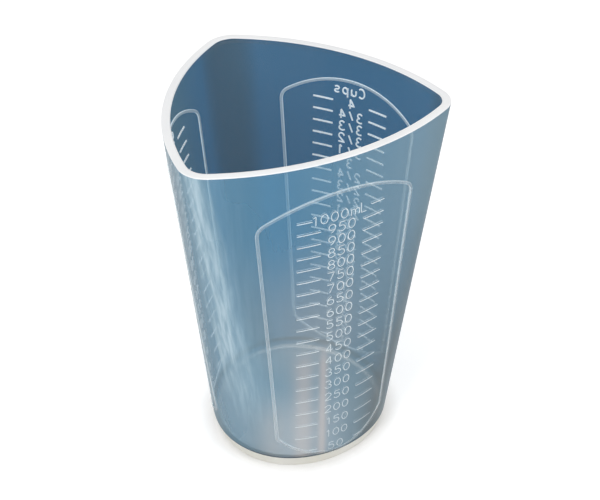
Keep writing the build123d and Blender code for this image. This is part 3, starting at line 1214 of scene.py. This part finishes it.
def strokes(scale, heights, wide_label):
    """Both columns of strokes of one scale."""
    points = []
    for row, z in enumerate(heights):
        inner = full_stroke_inner if wide_label and row == len(heights) - 1 else stroke_inner
        outer_end = min(stroke_outer, bow_reach(z))
        inner = min(inner, outer_end - shortest_stroke)
        for hand in (-1, 1):
            points += [(hand * (inner + end_inset), z), (hand * (outer_end - end_inset), z)]
    pairs = [(i, i + 1) for i in range(0, len(points), 2)]
    piece = grown(
        scale + "_strokes", points, pairs, relief,
        Width=stroke_width, Depth=stroke_depth, Proud=stroke_proud, Rounding=stroke_rounding,
        Facing=facings[scale], Shift=panel_shift, Material=mark_pale,
    )
    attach(piece, "root")
    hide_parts(scale + "_graduations")
    print(piece.name, len(piece.data.polygons), "faces")


strokes("millilitre", litre_heights, True)
strokes("cups", litre_heights, False)
strokes("ounce", ounce_heights, False)

# %% [markdown]
# The numerals are single lines of a round-ended cutter, so each is drawn as a few strokes on a grid
# that is one unit tall. A typeface would do for the words, but it is drawn as filled outlines, and
# the cup's numerals are one ridge wide. Straight strokes are lists of corners, and bowed ones are
# arcs of an oval.

# %% Letter shapes
bow_step = 24


def bow(x, y, rx, ry, start, end):
    """Points along an arc of an oval, with its angles in degrees."""
    count = max(ceil(abs(end - start) / bow_step), 3)
    turns = [radians(ruled(start, end, i / count)) for i in range(count + 1)]
    return [(x + rx * cos(turn), y + ry * sin(turn)) for turn in turns]


glyphs = {
    "0": [bow(0.33, 0.5, 0.33, 0.5, 0, 360)],
    "1": [[(0.26, 0.8), (0.5, 1), (0.5, 0)]],
    "2": [bow(0.33, 0.7, 0.31, 0.3, 170, -28) + [(0, 0), (0.66, 0)]],
    "3": [bow(0.3, 0.75, 0.28, 0.25, 150, -90) + bow(0.3, 0.25, 0.34, 0.25, 90, -150)],
    "4": [[(0.46, 0), (0.46, 1), (0, 0.3), (0.66, 0.3)]],
    "5": [[(0.6, 1), (0.1, 1), (0.06, 0.56)] + bow(0.3, 0.32, 0.34, 0.32, 120, -140)],
    "6": [bow(0.33, 0.31, 0.32, 0.31, 0, 360), bow(0.75, 0.31, 0.74, 0.69, 180, 115)],
    "7": [[(0, 1), (0.64, 1), (0.22, 0)]],
    "8": [bow(0.33, 0.76, 0.27, 0.24, 0, 360), bow(0.33, 0.26, 0.33, 0.26, 0, 360)],
    "9": [bow(0.33, 0.69, 0.32, 0.31, 0, 360), bow(-0.09, 0.69, 0.74, 0.69, 0, -65)],
    "/": [[(0.13, 0.06), (0.53, 0.94)]],
    "C": [bow(0.4, 0.5, 0.38, 0.5, 50, 310)],
    "u": [
        [(0.05, 0.66)] + bow(0.31, 0.25, 0.26, 0.25, 180, 360) + [(0.57, 0.66)],
        [(0.57, 0.25), (0.57, 0)],
    ],
    "p": [[(0.06, 0.66), (0.06, -0.3)], bow(0.33, 0.33, 0.27, 0.33, 0, 360)],
    "s": [bow(0.3, 0.49, 0.24, 0.17, 30, 270) + bow(0.3, 0.16, 0.26, 0.16, 90, -150)],
    "m": [
        [(0.03, 0), (0.03, 0.66)],
        bow(0.23, 0.44, 0.2, 0.22, 180, 0) + [(0.43, 0)],
        bow(0.63, 0.44, 0.2, 0.22, 180, 0) + [(0.83, 0)],
    ],
    "L": [[(0.06, 1), (0.06, 0), (0.6, 0)]],
    "o": [bow(0.33, 0.33, 0.3, 0.33, 0, 360)],
    "z": [[(0.05, 0.66), (0.58, 0.66), (0.05, 0), (0.6, 0)]],
}
print("letter shapes:", "".join(glyphs))

# %% [markdown]
# A label is its letter shapes side by side, scaled to the numeral's height and centred on its row.
# All the labels of one scale go through the relief tree together and are one piece. They are words,
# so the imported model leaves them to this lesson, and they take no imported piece's place.

# %% Millilitre numerals
numeral_height = 4.6 * mm
numeral_pitch = 0.96
numeral_width = 0.66
numeral_shift = -0.4 * mm
full_numeral_shift = -1.6 * mm
cutter_width = 0.7 * mm
cutter_depth = 0.9 * mm
cutter_proud = 0.45 * mm
cutter_rounding = 0.18 * mm
cutter_step = 0.6 * mm
same_place = 0.01 * mm
litre_step = 50


def written(text, x, y):
    """The strokes of a short text, centred on a point, as lists of flat points."""
    width = (len(text) - 1) * numeral_pitch + numeral_width
    low = y - numeral_height / 2
    result = []
    for place, letter in enumerate(text):
        left = x + (place * numeral_pitch - width / 2) * numeral_height
        for stroke in glyphs[letter]:
            result.append([(left + px * numeral_height, low + py * numeral_height) for px, py in stroke])
    return result


def numerals(scale, texts):
    """All the numerals of one scale as one piece."""
    points, edges = [], []
    for stroke in texts:
        first = len(points)
        closed = hypot(stroke[0][0] - stroke[-1][0], stroke[0][1] - stroke[-1][1]) < same_place
        stroke = stroke[:-1] if closed else stroke
        points += stroke
        edges += [(first + a, first + b) for a, b in chain(len(stroke), closed)]
    piece = grown(
        scale + "_numerals", points, edges, relief, Step=cutter_step,
        Width=cutter_width, Depth=cutter_depth, Proud=cutter_proud, Rounding=cutter_rounding,
        Facing=facings[scale], Shift=panel_shift, Material=mark_pale,
    )
    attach(piece, "root")
    print(piece.name, len(piece.data.polygons), "faces")


millilitre_texts = []
for row, z in enumerate(litre_heights):
    full = row == rows - 1
    label = str((row + 1) * litre_step) + ("mL" if full else "")
    millilitre_texts += written(label, full_numeral_shift if full else numeral_shift, z)
numerals("millilitre", millilitre_texts)

# %% [markdown]
# The cups scale counts in fifths. A whole number stands in the middle of its row, a part below one
# cup stands there too, and above that a whole number and a part stand left and right of a slash. The
# ounce scale counts in twos. Each has its unit word above the top row.

# %% Cups and ounces
fraction_spread = 4.7 * mm
word_rise = 6.6 * mm
cups_word_shift = 1.2 * mm
cup_parts = 5
ounce_step = 2

cups_texts = written("Cups", cups_word_shift, full_line + word_rise)
for row, z in enumerate(litre_heights):
    whole, part = divmod(row + 1, cup_parts)
    if whole and part:
        cups_texts += written(str(whole), -fraction_spread, z) + written("/", 0, z)
        cups_texts += written(str(part), fraction_spread, z)
    else:
        cups_texts += written(str(whole or part), 0, z)
numerals("cups", cups_texts)

ounce_texts = written("oz", 0, ounce_heights[-1] + word_rise)
for row, z in enumerate(ounce_heights):
    ounce_texts += written(str((row + 1) * ounce_step), 0, z)
numerals("ounce", ounce_texts)
